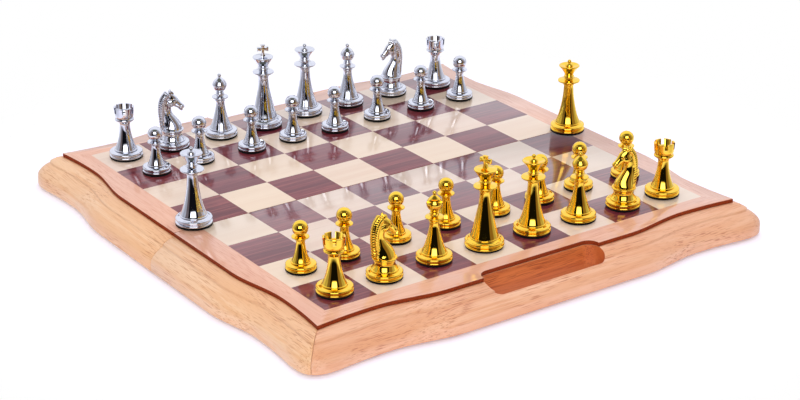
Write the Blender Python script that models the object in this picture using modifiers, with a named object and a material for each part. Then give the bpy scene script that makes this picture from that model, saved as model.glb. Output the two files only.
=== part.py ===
"""A folding wooden chess board with 34 turned metal pieces standing on it.

Metres, +Z up. The origin is on the table under the middle of the board, +X runs from the a file to
the h file and +Y from the gold army to the silver one. The board folds about a line along X under
its middle, and every piece lifts straight up.
"""
import math

import bmesh
import bpy
from mathutils import Matrix, Vector

MM = 0.001

# Board
SQUARE = 40.0 * MM
FILES = 8
BOARD_HEIGHT = 26.0 * MM
PANEL_THICKNESS = 3.0 * MM
TABLE_CLEARANCE = 0.2 * MM
BORDER_WIDTH = 19.4 * MM
RAIL_REACH = 19.3 * MM
RAIL_WIDTH = 34.7 * MM
CORNER_CUT = 18.2 * MM
WAVE_RUN = 54.0 * MM
WAVE_TAIL = 49.4 * MM
WAVE_DEPTH = 6.8 * MM
WAVE_RISE = 3.9 * MM
PANEL_SEAT = 1.0 * MM
FOOT_CHAMFER = 1.1 * MM
# The moulding from the panel's edge outward and down, as shares of the rail's reach and height:
# a gentle slope, a small step, a steeper round and an upright face.
MOULDING = [(0.05, 0.03), (0.51, 0.18), (0.64, 0.29), (0.83, 0.42), (0.94, 0.53), (1.0, 0.68)]
SEAM_GAP = 0.4 * MM
JOINT_GAP = 0.3 * MM
SLOT_LENGTH = 97.6 * MM
SLOT_WIDTH = 20.2 * MM
SLOT_INSET = 8.4 * MM
SLOT_RADIUS = 8.0 * MM
SPINE_LIP = 1.5 * MM

# Storage inserts
INSERT_RECESS = 1.0 * MM
INSERT_WALL = 4.0 * MM
INSERT_ROOF = 2.0 * MM
WELLS = 4

# Hinges
HINGE_INSET = 74.0 * MM
HINGE_LENGTH = 30.0 * MM
LEAF_WIDTH = 10.5 * MM
LEAF_THICKNESS = 1.0 * MM
LEAF_SINK = 0.1 * MM
KNUCKLE_RADIUS = 1.3 * MM
KNUCKLE_GAP = 0.4 * MM
PIN_RADIUS = 0.6 * MM
PIN_CLEARANCE = 0.05 * MM

# Magnets and feet
MAGNET_RADIUS = 4.0 * MM
MAGNET_DEPTH = 3.0 * MM
MAGNET_INSET = 61.35 * MM
PAD_RADIUS = 6.0 * MM
PAD_INSET = 31.35 * MM
PAD_STAGGER = 2.0 * MM

# Pieces
TURNED_SIDES = 12
KING_FOOT = 13.6 * MM
QUEEN_FOOT = 13.1 * MM
OFFICER_FOOT = 12.4 * MM
PAWN_FOOT = 10.6 * MM
MERLON_GAP = 2.4 * MM
SLIT_WIDTH = 1.2 * MM
CROSS_HEIGHT = 8.4 * MM
CROSS_WIDTH = 8.6 * MM
CROSS_THICKNESS = 2.2 * MM
HORSE_THICKNESS = 8.0 * MM

HALF_FIELD = SQUARE * FILES / 2
PANEL_EDGE = HALF_FIELD + BORDER_WIDTH
RAIL_EDGE = PANEL_EDGE + RAIL_REACH
RAIL_INNER = RAIL_EDGE - RAIL_WIDTH
PANEL_UNDER = BOARD_HEIGHT - PANEL_THICKNESS
RAIL_TOP = PANEL_UNDER - JOINT_GAP
UNDERSIDE = KNUCKLE_RADIUS + TABLE_CLEARANCE
RAIL_MIDDLE = (RAIL_INNER + RAIL_EDGE) / 2
WAVE_LOW = PANEL_EDGE - WAVE_TAIL
WAVE_START = WAVE_LOW - WAVE_RUN
SPINE_THICKNESS = LEAF_WIDTH + SPINE_LIP
HINGE_X = RAIL_INNER - HINGE_INSET
MAGNET_X = RAIL_MIDDLE - MAGNET_INSET
FRONT_PAD_X = RAIL_MIDDLE - PAD_INSET
BACK_PAD_X = FRONT_PAD_X - 2 * PAD_RADIUS - PAD_STAGGER

# How far each piece stands from the middle of its square, as a share of a square: set by hand.
GOLD_PLACES = {
    "rook_a": (-0.02, -0.05), "knight_b": (-0.04, -0.04), "bishop_c": (0.01, 0.03), "king": (0.04, 0.01),
    "queen": (0.07, 0.02), "bishop_f": (0.07, -0.01), "knight_g": (0.07, -0.03), "rook_h": (0.0, -0.01),
    "pawn_a": (0.0, -0.01), "pawn_b": (-0.12, 0.02), "pawn_c": (-0.03, 0.08), "pawn_d": (0.02, 0.09),
    "pawn_e": (0.06, 0.04), "pawn_f": (0.02, 0.01), "pawn_g": (-0.04, 0.07), "pawn_h": (0.0, 0.0),
}
SILVER_PLACES = {
    "rook_a": (0.0, 0.06), "knight_b": (-0.05, -0.02), "bishop_c": (0.0, -0.02), "king": (-0.04, -0.04),
    "queen": (-0.02, 0.08), "bishop_f": (-0.05, 0.04), "knight_g": (0.0, 0.05), "rook_h": (0.01, -0.07),
    "pawn_a": (0.1, 0.07), "pawn_b": (0.03, 0.09), "pawn_c": (0.11, 0.03), "pawn_d": (0.03, 0.04),
    "pawn_e": (-0.04, 0.0), "pawn_f": (-0.02, 0.05), "pawn_g": (0.01, 0.03), "pawn_h": (-0.03, 0.04),
}
# The spare queens stand on the border, in squares from the board's middle.
SPARE_QUEENS = {"gold": (4.11, -0.09), "silver": (-4.01, 0.13)}
# The way each piece faces, in degrees from +X: knights by their noses, the others by their slits.
HEADINGS = {
    "gold_knight_b": -6.0, "gold_knight_g": 168.0, "silver_knight_b": -25.0, "silver_knight_g": 175.0,
    "gold_bishop_c": -125.0, "gold_bishop_f": 60.0, "silver_bishop_c": 60.0, "silver_bishop_f": -35.0,
    "gold_king": -75.0, "silver_king": -20.0,
}
BACK_ROW = ["rook_a", "knight_b", "bishop_c", "king", "queen", "bishop_f", "knight_g", "rook_h"]


# ---------------------------------------------------------------- scene and materials

def clear_scene():
    for obj in list(bpy.data.objects):
        bpy.data.objects.remove(obj, do_unlink=True)


def new_collection(name, hidden=False):
    collection = bpy.data.collections.new(name)
    bpy.context.scene.collection.children.link(collection)
    collection.hide_render = hidden
    return collection


def material(name, colour, roughness, metallic):
    made = bpy.data.materials.new(name)
    made.use_nodes = True
    shader = made.node_tree.nodes["Principled BSDF"]
    shader.inputs["Base Color"].default_value = (*colour, 1.0)
    shader.inputs["Roughness"].default_value = roughness
    shader.inputs["Metallic"].default_value = metallic
    made.diffuse_color = (*colour, 1.0)
    return made


clear_scene()
PARTS = new_collection("folding_chess_set")
CUTTERS = new_collection("cutters", hidden=True)
MATERIALS = {
    "veneer": material("veneer", (0.72, 0.47, 0.35), 0.25, 0.0),
    "beech": material("beech", (0.80, 0.52, 0.32), 0.35, 0.0),
    "gold": material("gold", (0.95, 0.68, 0.15), 0.06, 1.0),
    "silver": material("silver", (0.82, 0.83, 0.85), 0.05, 1.0),
    "brass": material("brass", (0.72, 0.52, 0.22), 0.3, 1.0),
    "flock": material("flock", (0.09, 0.02, 0.03), 0.95, 0.0),
    "felt": material("felt", (0.02, 0.02, 0.02), 0.95, 0.0),
    "magnet": material("magnet", (0.55, 0.55, 0.57), 0.25, 1.0),
}


# ---------------------------------------------------------------- modelling helpers

def place(obj, name, slot=None, parent=None, collection=None):
    """Names an object, gives it a material and a parent, and moves it to its collection."""
    obj.name = name
    for old in list(obj.users_collection):
        old.objects.unlink(obj)
    (collection or PARTS).objects.link(obj)
    if slot:
        obj.data.materials.clear()
        obj.data.materials.append(MATERIALS[slot])
    if parent:
        obj.parent = parent
        bpy.context.view_layer.update()
        obj.matrix_parent_inverse = parent.matrix_world.inverted()
    return obj


def as_cutter(obj, name):
    place(obj, name, collection=CUTTERS)
    obj.hide_render = True
    obj.display_type = "WIRE"
    return obj


def box(low, high):
    """A cube primitive stretched between two corners."""
    bpy.ops.mesh.primitive_cube_add(size=1.0)
    made = bpy.context.object
    size = [b - a for a, b in zip(low, high)]
    middle = [(a + b) / 2 for a, b in zip(low, high)]
    made.data.transform(Matrix.Translation(middle) @ Matrix.Diagonal((*size, 1.0)))
    return made


def rod(radius, start, end):
    """A closed cylinder between two points."""
    start, end = Vector(start), Vector(end)
    span = end - start
    bpy.ops.mesh.primitive_cylinder_add(vertices=TURNED_SIDES, radius=radius, depth=span.length)
    made = bpy.context.object
    turn = span.to_track_quat("Z", "Y").to_matrix().to_4x4()
    made.data.transform(Matrix.Translation((start + end) / 2) @ turn)
    return made


def plate(outline, low, high):
    """A flat outline, given as (x, y) points, thickened from one height to another."""
    curve = bpy.data.curves.new("outline", "CURVE")
    curve.dimensions = "2D"
    curve.fill_mode = "BOTH"
    curve.extrude = (high - low) / 2
    spline = curve.splines.new("POLY")
    spline.points.add(len(outline) - 1)
    for point, (x, y) in zip(spline.points, outline):
        point.co = (x, y, 0.0, 1.0)
    spline.use_cyclic_u = True
    drawn = bpy.data.objects.new("outline", curve)
    PARTS.objects.link(drawn)
    bpy.context.view_layer.update()
    mesh = bpy.data.meshes.new_from_object(drawn.evaluated_get(bpy.context.evaluated_depsgraph_get()))
    bpy.data.objects.remove(drawn)
    weld(mesh)
    mesh.transform(Matrix.Translation((0.0, 0.0, (low + high) / 2)))
    made = bpy.data.objects.new("plate", mesh)
    PARTS.objects.link(made)
    return made


def weld(mesh, distance=0.001 * MM):
    work = bmesh.new()
    work.from_mesh(mesh)
    bmesh.ops.remove_doubles(work, verts=work.verts, dist=distance)
    bmesh.ops.recalc_face_normals(work, faces=work.faces)
    work.to_mesh(mesh)
    work.free()


def loft(sections):
    """A closed solid through loops of points, each loop with as many points as the next."""
    count = len(sections[0])
    points = [point for section in sections for point in section]
    faces = [tuple(range(count)), tuple(range(len(points) - count, len(points)))]
    for start in range(0, len(points) - count, count):
        for i in range(count):
            j = (i + 1) % count
            faces.append((start + i, start + j, start + count + j, start + count + i))
    mesh = bpy.data.meshes.new("loft")
    mesh.from_pydata(points, [], faces)
    weld(mesh)
    made = bpy.data.objects.new("loft", mesh)
    PARTS.objects.link(made)
    return made


def turned(profile):
    """A turned shape: (radius, height) points from the top of the axis down the outside."""
    mesh = bpy.data.meshes.new("profile")
    points = [(radius, 0.0, height) for radius, height in profile]
    mesh.from_pydata(points, [(i, i + 1) for i in range(len(points) - 1)], [])
    made = bpy.data.objects.new("turned", mesh)
    PARTS.objects.link(made)
    screw = made.modifiers.new("screw", "SCREW")
    screw.axis = "Z"
    screw.angle = math.tau
    screw.steps = TURNED_SIDES
    screw.render_steps = TURNED_SIDES
    screw.use_merge_vertices = True
    screw.merge_threshold = 0.001 * MM
    return made


def boolean(obj, tool, operation):
    """Adds a cut or a join, and keeps the tool out of the model."""
    as_cutter(tool, obj.name + "_" + operation.lower())
    change = obj.modifiers.new(operation.lower(), "BOOLEAN")
    change.operation = operation
    change.solver = "EXACT"
    change.object = tool
    return obj


def finished_mesh(obj, smooth_angle=math.radians(35.0)):
    """The object's mesh with its modifiers applied; the object is removed."""
    bpy.context.view_layer.update()
    mesh = bpy.data.meshes.new_from_object(obj.evaluated_get(bpy.context.evaluated_depsgraph_get()))
    mesh.shade_smooth()
    mesh.set_sharp_from_angle(angle=smooth_angle)
    bpy.data.objects.remove(obj)
    return mesh


def empty(name, location):
    made = bpy.data.objects.new(name, None)
    made.empty_display_size = SQUARE
    made.location = location
    PARTS.objects.link(made)
    return made


# ---------------------------------------------------------------- board

def wave(along):
    """How far the wavy edge lies inside the straight one, at a distance along a side."""
    along = abs(along)
    if along <= WAVE_START:
        return 0.0
    if along <= WAVE_LOW:
        turn = (along - WAVE_START) / (WAVE_LOW - WAVE_START)
        return WAVE_DEPTH * (1 - math.cos(math.pi * turn)) / 2
    return WAVE_DEPTH - WAVE_RISE * ((along - WAVE_LOW) / (PANEL_EDGE - WAVE_LOW)) ** 2


def corner_points(outward):
    """Where the outline at one distance outward leaves its side and where it meets the mitre."""
    cut = 2 * (RAIL_EDGE - wave(RAIL_EDGE)) - CORNER_CUT - math.sqrt(2) * (RAIL_EDGE - outward)
    leave = mitre = cut / 2
    for _ in range(20):
        leave = cut - (outward - wave(leave))
    if leave < mitre - 1.0 * MM:
        return leave, mitre
    for _ in range(20):
        mitre = outward - wave(mitre)
    return mitre - 1.0 * MM, mitre


def wave_stations():
    """Distances along half a side, closer together where the edge bends."""
    bends = 4
    first = [WAVE_START + (WAVE_LOW - WAVE_START) * i / bends for i in range(bends + 1)]
    end = corner_points(PANEL_EDGE)[0]
    second = [WAVE_LOW + (end - WAVE_LOW) * i / 2 for i in range(1, 3)]
    return [along / end for along in first + second]


def rail_profile():
    """(distance outward, height, follows the wave) round a rail's section, from its inner foot."""
    height = RAIL_TOP - UNDERSIDE
    shoulder = [(PANEL_EDGE + out * RAIL_REACH, RAIL_TOP - drop * height, True) for out, drop in MOULDING]
    return [
        (RAIL_INNER, UNDERSIDE, False),
        (RAIL_INNER, RAIL_TOP, False),
        (PANEL_EDGE - PANEL_SEAT, RAIL_TOP, True),
        *shoulder,
        (RAIL_EDGE, UNDERSIDE + FOOT_CHAMFER, True),
        (RAIL_EDGE - FOOT_CHAMFER, UNDERSIDE, True),
    ]


def rail_sections(start):
    """Loops of (along, outward, height) from a start on the side out to the mitre."""
    profile = rail_profile()
    ends = [corner_points(out) if wavy else (out - 3.0 * MM, out) for out, _, wavy in profile]
    sections = []
    for share in [None] + wave_stations() + ["mitre"]:
        section = []
        for (out, height, wavy), (leave, mitre) in zip(profile, ends):
            if share == "mitre":
                section.append((mitre - JOINT_GAP / math.sqrt(2), mitre, height))
                continue
            along = start if share is None else share * leave
            section.append((along, out - wave(along) if wavy else out, height))
        sections.append(section)
    return sections


def long_rail(name, side, parent):
    """The front or back rail, mitre to mitre, with its hand slot and magnet pockets."""
    half = rail_sections(0.0)
    mirrored = [[(-a, out, h) for a, out, h in section] for section in reversed(half[1:])]
    rail = loft([[(a, side * out, h) for a, out, h in section] for section in mirrored + half])
    place(rail, name, "beech", parent)
    boolean(rail, slot_cutter(side), "DIFFERENCE")
    for x in (-MAGNET_X, MAGNET_X):
        pocket = rod(MAGNET_RADIUS + JOINT_GAP, (x, side * RAIL_MIDDLE, UNDERSIDE - MAGNET_DEPTH),
                     (x, side * RAIL_MIDDLE, UNDERSIDE + LEAF_SINK + MAGNET_DEPTH + JOINT_GAP))
        boolean(rail, pocket, "DIFFERENCE")
    return rail


def short_rail(name, side, half_side, parent):
    """A left or right rail on one half, from the fold seam to the mitre."""
    sections = rail_sections(SEAM_GAP / 2)
    rail = loft([[(side * out, half_side * a, h) for a, out, h in section] for section in sections])
    return place(rail, name, "beech", parent)


def slot_outline(side):
    """The hand slot seen from above: a rectangle with round corners."""
    inner = PANEL_EDGE - SLOT_INSET
    outer = inner + SLOT_WIDTH
    outline = []
    for sign_x, sign_y, first in ((1, 1, 0), (-1, 1, 90), (-1, -1, 180), (1, -1, 270)):
        centre_x = sign_x * (SLOT_LENGTH / 2 - SLOT_RADIUS)
        centre_y = (outer if sign_y > 0 else inner) - sign_y * SLOT_RADIUS
        for degrees in range(first, first + 91, 30):
            turn = math.radians(degrees)
            outline.append((centre_x + SLOT_RADIUS * math.cos(turn), centre_y + SLOT_RADIUS * math.sin(turn)))
    return [(x, side * y) for x, y in outline]


def slot_cutter(side):
    return plate(slot_outline(side), -1.0 * MM, BOARD_HEIGHT + 1.0 * MM)


def panel_outline(side):
    """One half of the playing panel, from the fold seam round its wavy edge."""
    shares = wave_stations()
    leave, corner = corner_points(PANEL_EDGE)
    side_points = [(share * leave, PANEL_EDGE - wave(share * leave)) for share in shares]
    right = [(out, along) for along, out in side_points]
    front = [(along, out) for along, out in reversed(side_points)]
    quarter = [(PANEL_EDGE, SEAM_GAP / 2)] + right + [(corner, corner)] + front
    outline = quarter + [(-x, y) for x, y in reversed(quarter)]
    return [(x, side * y) for x, y in outline]


def panel(name, side, parent):
    made = plate(panel_outline(side), PANEL_UNDER, BOARD_HEIGHT)
    place(made, name, "veneer", parent)
    return boolean(made, slot_cutter(side), "DIFFERENCE")


def spine(name, side, parent):
    """The board that closes one half along the fold, let in for the hinges."""
    end = RAIL_INNER - JOINT_GAP
    near, far = sorted((side * SEAM_GAP / 2, side * SPINE_THICKNESS))
    made = place(box((-end, near, UNDERSIDE), (end, far, RAIL_TOP)), name, "beech", parent)
    leaf_room = UNDERSIDE + LEAF_SINK + LEAF_THICKNESS + JOINT_GAP
    barrel_room = UNDERSIDE + KNUCKLE_RADIUS + 2 * JOINT_GAP
    for x in (-HINGE_X, HINGE_X):
        half = HINGE_LENGTH / 2 + JOINT_GAP
        for depth, top in ((LEAF_WIDTH + JOINT_GAP, leaf_room), (KNUCKLE_RADIUS + 2 * JOINT_GAP, barrel_room)):
            low, high = sorted((-side * 1.0 * MM, side * depth))
            boolean(made, box((x - half, low, 0.0), (x + half, high, top)), "DIFFERENCE")
    return made


def insert(name, side, parent):
    """A block with open wells on its underside, where the pieces are kept."""
    end = RAIL_INNER - JOINT_GAP
    low_y, high_y = SPINE_THICKNESS + JOINT_GAP, RAIL_INNER - JOINT_GAP
    low_z, high_z = UNDERSIDE + INSERT_RECESS, PANEL_UNDER - JOINT_GAP
    near, far = sorted((side * low_y, side * high_y))
    made = place(box((-end, near, low_z), (end, far, high_z)), name, "flock", parent)
    width = (2 * end - INSERT_WALL * (WELLS + 1)) / WELLS
    for i in range(WELLS):
        x = -end + INSERT_WALL + i * (width + INSERT_WALL)
        boolean(made, box((x, near + INSERT_WALL, 0.0), (x + width, far - INSERT_WALL, high_z - INSERT_ROOF)),
                "DIFFERENCE")
    return made


def hinge_leaf(name, x, side, parent):
    """A leaf under a spine board. The front leaf has two knuckles and the back one the middle one."""
    low = UNDERSIDE + LEAF_SINK
    gap_to_barrel = KNUCKLE_RADIUS + 2 * JOINT_GAP
    near, far = sorted((side * gap_to_barrel, side * LEAF_WIDTH))
    leaf = box((x - HINGE_LENGTH / 2, near, low), (x + HINGE_LENGTH / 2, far, low + LEAF_THICKNESS))
    place(leaf, name, "brass", parent)
    third = HINGE_LENGTH / 3
    spans = [(0, 1), (2, 3)] if side < 0 else [(1, 2)]
    for first, last in spans:
        start = x - HINGE_LENGTH / 2 + first * third + (KNUCKLE_GAP / 2 if first else 0.0)
        end = x - HINGE_LENGTH / 2 + last * third - (KNUCKLE_GAP / 2 if last < 3 else 0.0)
        tongue_near, tongue_far = sorted((side * PIN_RADIUS, side * (gap_to_barrel + 1.0 * MM)))
        boolean(leaf, box((start, tongue_near, low), (end, tongue_far, low + LEAF_THICKNESS)), "UNION")
        boolean(leaf, rod(KNUCKLE_RADIUS, (start, 0.0, UNDERSIDE), (end, 0.0, UNDERSIDE)), "UNION")
    reach = HINGE_LENGTH
    bore = rod(PIN_RADIUS + PIN_CLEARANCE, (x - reach, 0.0, UNDERSIDE), (x + reach, 0.0, UNDERSIDE))
    return boolean(leaf, bore, "DIFFERENCE")


def hinge(label, x, front, back):
    hinge_leaf("hinge_leaf_front_" + label, x, -1, front)
    hinge_leaf("hinge_leaf_back_" + label, x, 1, back)
    pin = rod(PIN_RADIUS, (x - HINGE_LENGTH / 2, 0.0, UNDERSIDE), (x + HINGE_LENGTH / 2, 0.0, UNDERSIDE))
    place(pin, "hinge_pin_" + label, "brass", front)


def magnets_and_feet(half_name, side, pad_x, parent):
    for label, sign in (("left", -1), ("right", 1)):
        y = side * RAIL_MIDDLE
        low = UNDERSIDE + LEAF_SINK
        x = sign * MAGNET_X
        magnet = rod(MAGNET_RADIUS, (x, y, low), (x, y, low + MAGNET_DEPTH))
        place(magnet, f"magnet_{half_name}_{label}", "magnet", parent)
        x = sign * pad_x
        pad = rod(PAD_RADIUS, (x, y, 0.0), (x, y, UNDERSIDE - JOINT_GAP))
        place(pad, f"foot_pad_{half_name}_{label}", "felt", parent)


def board(front, back):
    for half_name, side, parent, pad_x in (("front", -1, front, FRONT_PAD_X), ("back", 1, back, BACK_PAD_X)):
        panel("panel_" + half_name, side, parent)
        long_rail("rail_" + half_name, side, parent)
        short_rail(f"rail_left_{half_name}", -1, side, parent)
        short_rail(f"rail_right_{half_name}", 1, side, parent)
        spine("spine_" + half_name, side, parent)
        insert("insert_" + half_name, side, parent)
        magnets_and_feet(half_name, side, pad_x, parent)
    hinge("left", -HINGE_X, front, back)
    hinge("right", HINGE_X, front, back)


# ---------------------------------------------------------------- pieces

def in_metres(points):
    return [(a * MM, b * MM) for a, b in points]


def foot(radius, rim=4.4 * MM, groove=True):
    """The round foot with its felt: from its shoulder down to the middle of its underside."""
    points = [(radius - 0.9 * MM, rim + 0.9 * MM), (radius, rim)]
    if groove:
        points += [(radius, 3.6 * MM), (radius - 0.6 * MM, 3.1 * MM), (radius, 2.6 * MM)]
    return points + [(radius, 0.0), (0.0, 0.0)]


def pawn():
    ball_radius, ball_height = 5.4, 29.8
    ball = [(ball_radius * math.cos(math.radians(a)), ball_height + ball_radius * math.sin(math.radians(a)))
            for a in (45, 0, -40)]
    profile = [(0.0, ball_height + ball_radius)] + ball + [(2.8, 25.2), (5.8, 23.7), (3.1, 22.1), (2.9, 21.5)]
    profile += [(4.0, 13.6), (6.1, 6.9)]
    return finished_mesh(turned(in_metres(profile) + foot(PAWN_FOOT, groove=False)))


def rook():
    profile = [(0.0, 34.2), (5.2, 34.0), (5.4, 39.7), (7.6, 39.7), (7.1, 32.4), (6.3, 31.1), (7.2, 29.3)]
    profile += [(4.4, 27.0), (4.0, 26.0), (5.7, 15.8), (8.3, 6.9)]
    made = turned(in_metres(profile) + foot(OFFICER_FOOT))
    for i in range(3):
        bar = box((-10.0 * MM, -MERLON_GAP / 2, 35.4 * MM), (10.0 * MM, MERLON_GAP / 2, 42.0 * MM))
        bar.data.transform(Matrix.Rotation(math.radians(60.0 * i), 4, "Z"))
        boolean(made, bar, "DIFFERENCE")
    return finished_mesh(made)


def bishop():
    profile = [(0.0, 50.0), (1.4, 48.7), (1.0, 47.2), (3.6, 44.9), (5.5, 42.0), (5.0, 39.2), (2.8, 36.3)]
    profile += [(2.4, 33.6), (6.2, 31.1), (3.5, 28.9), (3.1, 27.4), (5.6, 17.0), (8.5, 7.0)]
    made = turned(in_metres(profile) + foot(OFFICER_FOOT))
    slit = box((0.8 * MM, -8.0 * MM, -SLIT_WIDTH / 2), (12.0 * MM, 8.0 * MM, SLIT_WIDTH / 2))
    slit.data.transform(Matrix.Translation((0.0, 0.0, 41.6 * MM)) @ Matrix.Rotation(math.radians(-42.0), 4, "Y"))
    boolean(made, slit, "DIFFERENCE")
    return finished_mesh(made)


def queen():
    profile = [(0.0, 57.2), (1.4, 55.9), (1.0, 54.9), (2.7, 53.4), (3.1, 51.6), (7.2, 52.6), (7.7, 51.9)]
    profile += [(4.6, 47.8), (3.1, 45.2), (3.9, 42.0), (8.3, 40.1), (3.9, 37.6), (3.3, 36.2), (3.8, 35.0)]
    profile += [(3.7, 33.4), (5.7, 19.0), (9.3, 7.4)]
    return finished_mesh(turned(in_metres(profile) + foot(QUEEN_FOOT, rim=4.8 * MM)))


def cross():
    """A cross with arms that widen outwards, standing on the XZ plane with its foot at the origin."""
    half, waist, height = CROSS_WIDTH / 2, 0.9 * MM, CROSS_HEIGHT
    arm_low, arm_high = 0.42 * height, 0.88 * height
    middle = (arm_low + arm_high) / 2
    right = [(2.2 * MM, -0.6 * MM), (waist, middle - waist), (half, arm_low), (half, arm_high),
             (waist, middle + waist), (1.9 * MM, height)]
    outline = right + [(-x, y) for x, y in reversed(right)]
    made = plate(outline, -CROSS_THICKNESS / 2, CROSS_THICKNESS / 2)
    made.data.transform(Matrix.Rotation(math.radians(90.0), 4, "X"))
    return made


def king():
    crown_top = 57.2
    profile = [(0.0, crown_top), (7.2, 56.5), (7.9, 55.8), (7.7, 54.4), (4.8, 51.4), (3.3, 47.8), (4.0, 46.0)]
    profile += [(8.0, 43.7), (4.0, 41.0), (3.3, 39.3), (3.8, 38.2), (3.8, 36.7), (6.2, 22.4), (9.7, 7.8)]
    made = turned(in_metres(profile) + foot(KING_FOOT, rim=4.8 * MM))
    top = cross()
    top.data.transform(Matrix.Translation((0.0, 0.0, crown_top * MM)))
    boolean(made, top, "UNION")
    return finished_mesh(made)


def knight():
    """A turned foot and drum with a horse's head and neck, which looks along +X."""
    profile = [(0.0, 15.0), (7.6, 15.0), (8.1, 14.1), (6.9, 10.2), (8.9, 7.0)]
    made = turned(in_metres(profile) + foot(OFFICER_FOOT))
    outline = [(-6.5, 14.0), (6.2, 14.0), (7.3, 16.2), (6.9, 18.4), (4.0, 21.6), (0.9, 25.0), (-0.2, 28.2),
               (0.6, 30.2), (3.8, 29.9), (6.4, 29.2), (9.0, 31.6), (9.1, 34.2), (5.8, 37.6), (3.2, 41.4),
               (1.0, 45.2), (-1.6, 43.8), (-5.2, 45.0), (-7.8, 40.2), (-9.5, 35.4), (-10.1, 29.6),
               (-9.6, 22.4), (-9.0, 15.6)]
    horse = plate(in_metres(outline), -HORSE_THICKNESS / 2, HORSE_THICKNESS / 2)
    horse.data.transform(Matrix.Rotation(math.radians(90.0), 4, "X"))
    bevel = horse.modifiers.new("bevel", "BEVEL")
    bevel.width = 1.6 * MM
    bevel.segments = 1
    bevel.limit_method = "ANGLE"
    bevel.angle_limit = math.radians(60.0)
    boolean(made, horse, "UNION")
    return finished_mesh(made)


def stand(name, mesh, x, y, halves):
    """Stands one piece on the board, on the half that its middle is over."""
    obj = bpy.data.objects.new(name, mesh)
    PARTS.objects.link(obj)
    obj.location = (x, y, BOARD_HEIGHT + JOINT_GAP)
    obj.rotation_euler.z = math.radians(HEADINGS.get(name, 0.0))
    parent = halves["front" if y < 0 else "back"]
    obj.parent = parent
    bpy.context.view_layer.update()
    obj.matrix_parent_inverse = parent.matrix_world.inverted()


def army(metal, meshes, places, back_rank, pawn_rank, halves):
    own = {}
    for kind, mesh in meshes.items():
        own[kind] = mesh.copy()
        own[kind].name = f"{metal}_{kind}"
        own[kind].materials.clear()
        own[kind].materials.append(MATERIALS[metal])
    for column in range(FILES):
        names = ((BACK_ROW[column], back_rank), ("pawn_" + "abcdefgh"[column], pawn_rank))
        for name, rank in names:
            aside, ahead = places[name]
            x = (column + 0.5 + aside) * SQUARE - HALF_FIELD
            y = (rank - 0.5 + ahead) * SQUARE - HALF_FIELD
            stand(f"{metal}_{name}", own[name.split("_")[0]], x, y, halves)
    x, y = SPARE_QUEENS[metal]
    stand(f"{metal}_queen_spare", own["queen"], x * SQUARE, y * SQUARE, halves)


def main():
    halves = {"front": empty("front_half", (0.0, 0.0, 0.0)), "back": empty("back_half", (0.0, 0.0, UNDERSIDE))}
    board(halves["front"], halves["back"])
    meshes = {"pawn": pawn(), "rook": rook(), "knight": knight(), "bishop": bishop(), "queen": queen(),
              "king": king()}
    army("gold", meshes, GOLD_PLACES, 1, 2, halves)
    army("silver", meshes, SILVER_PLACES, 8, 7, halves)


main()
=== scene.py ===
"""The looks of the folding chess set: veneered board, moulded beech rails and polished metal pieces.

Metres, +Z up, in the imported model's frame: +X runs from the a file to the h file, and +Y from the
gold army to the silver one. Profiles are in millimetres and scaled where they are used.
"""

import math

import bmesh
import bpy
from mathutils import Matrix, Vector


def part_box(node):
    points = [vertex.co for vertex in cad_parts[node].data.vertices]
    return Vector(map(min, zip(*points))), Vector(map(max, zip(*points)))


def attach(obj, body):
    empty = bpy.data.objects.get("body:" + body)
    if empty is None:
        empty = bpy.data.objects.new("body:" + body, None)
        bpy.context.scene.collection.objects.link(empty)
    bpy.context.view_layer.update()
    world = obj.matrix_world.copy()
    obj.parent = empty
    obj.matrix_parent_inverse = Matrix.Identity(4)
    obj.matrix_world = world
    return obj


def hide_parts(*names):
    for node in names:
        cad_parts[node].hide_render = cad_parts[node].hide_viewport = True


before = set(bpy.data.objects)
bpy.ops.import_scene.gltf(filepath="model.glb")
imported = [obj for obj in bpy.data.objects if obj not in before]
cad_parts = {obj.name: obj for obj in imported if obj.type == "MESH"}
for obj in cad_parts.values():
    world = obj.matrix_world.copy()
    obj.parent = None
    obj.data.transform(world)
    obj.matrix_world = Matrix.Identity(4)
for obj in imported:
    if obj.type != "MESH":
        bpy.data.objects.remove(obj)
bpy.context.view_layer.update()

MM = 0.001
SQUARE = 40.0 * MM
HALF_FIELD = 4 * SQUARE

# The board's main sizes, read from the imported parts.
PANEL_LOW, PANEL_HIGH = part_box("panel_front")
RAIL_LOW, RAIL_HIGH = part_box("rail_front")
SPINE_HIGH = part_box("spine_front")[1]
PANEL_EDGE = PANEL_HIGH.x
BOARD_HEIGHT = PANEL_HIGH.z
PANEL_UNDER = PANEL_LOW.z
RAIL_EDGE = -RAIL_LOW.y
RAIL_TOP = RAIL_HIGH.z
UNDERSIDE = RAIL_LOW.z
SEAM_HALF = -PANEL_HIGH.y
JOINT_GAP = 0.3 * MM
RAIL_INNER = SPINE_HIGH.x + JOINT_GAP
CORNER_CUT = 18.2 * MM

# The wavy edge, by distance along a side: straight to its start, deepest at its low, then out again.
WAVE_LOW = PANEL_EDGE - 49.4 * MM
WAVE_START = WAVE_LOW - 54.0 * MM
WAVE_DEPTH = 6.8 * MM
WAVE_RISE = 3.9 * MM
WAVE_STEPS = 40

SLOT_LENGTH = 97.6 * MM
SLOT_WIDTH = 20.2 * MM
SLOT_INSET = 8.4 * MM
SLOT_RADIUS = 8.0 * MM
MAGNET_ROOM = 0.3 * MM
CUTTER_OVERRUN = 1.0 * MM

# The rails round their cut corners from this share of the way along a side.
CORNER_START = 0.90
CORNER_STEPS = 8
CORNER_LEAD = 1.0 * MM
INNER_LEAD = 3.0 * MM
SETTLING_TURNS = 20

RAIL_ROUNDING = 0.35 * MM
PANEL_ROUNDING = 0.25 * MM
CROSS_ROUNDING = 0.3 * MM
SCREW_SHARES = (0.17, 0.5, 0.83)
SCREW_INSET = 4.2 * MM
SCREW_HEIGHT = 0.26 * MM
MERLON_GAP = 2.4 * MM
MANE_LOCKS = 17

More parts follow.
